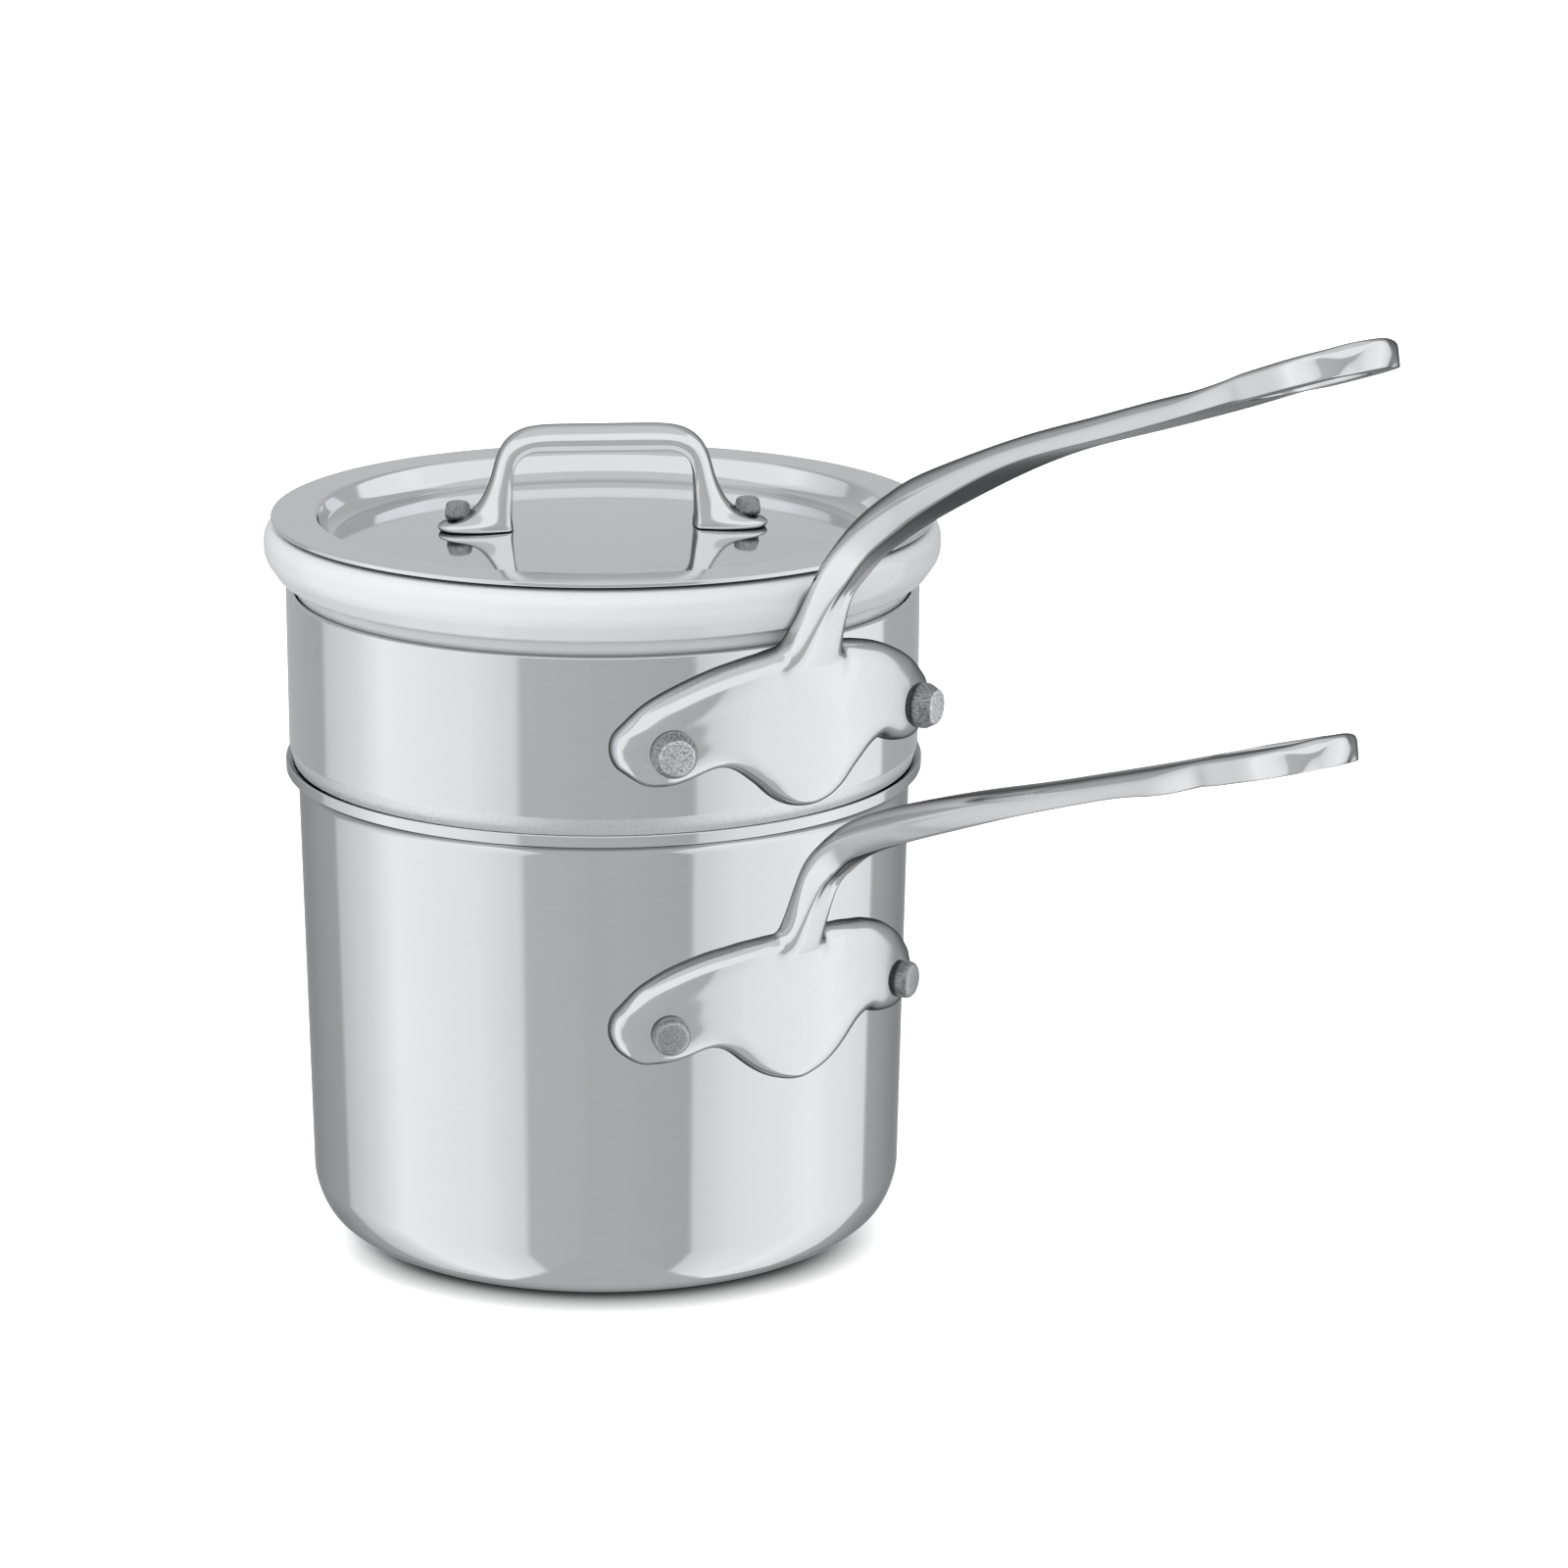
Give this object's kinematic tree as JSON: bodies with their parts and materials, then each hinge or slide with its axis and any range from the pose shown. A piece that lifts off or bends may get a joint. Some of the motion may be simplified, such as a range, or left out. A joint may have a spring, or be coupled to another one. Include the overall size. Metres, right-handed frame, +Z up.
{
  "type": "double boiler",
  "caption": "Steel double boiler: a water pan, an open upper pan with a porcelain insert, and a lid with a bow handle; both pans have long cast handles.",
  "frame": {"origin": "centre of the flat underside of the lower pan's base", "axes": "+Z up along the pans' axis, +X from the axis towards the long handles, +Y to the left of the handles"},
  "size_m": [0.2651, 0.1278, 0.1981],
  "materials": {
    "steel": "polished stainless steel with a fine satin grain",
    "cast_steel": "bright polished cast stainless steel",
    "lid_steel": "satin sheet with a mirror-like disc",
    "rivet_steel": "dull turned steel with fine tool marks",
    "porcelain": "smooth cool white glaze"
  },
  "bodies": {
    "lower_pan": {"lower_pan": "steel", "lower_handle": "cast_steel", "lower_rivet_left": "rivet_steel", "lower_rivet_right": "rivet_steel"},
    "upper_pan": {"upper_collar": "steel", "upper_handle": "cast_steel", "upper_rivet_left": "rivet_steel", "upper_rivet_right": "rivet_steel"},
    "insert": {"porcelain_insert": "porcelain"},
    "lid": {"lid": "lid_steel", "lid_handle": "cast_steel", "lid_rivet_left": "rivet_steel", "lid_rivet_right": "rivet_steel"}
  },
  "joints": [
    {"name": "upper_pan_lift", "type": "slide", "parent": "lower_pan", "child": "upper_pan", "axis": [0, 0, 1], "range_m": [0, 0.07]},
    {"name": "insert_lift", "type": "slide", "parent": "upper_pan", "child": "insert", "axis": [0, 0, 1], "range_m": [0, 0.1]},
    {"name": "lid_lift", "type": "slide", "parent": "insert", "child": "lid", "axis": [0, 0, 1], "range_m": [0, 0.08]}
  ]
}
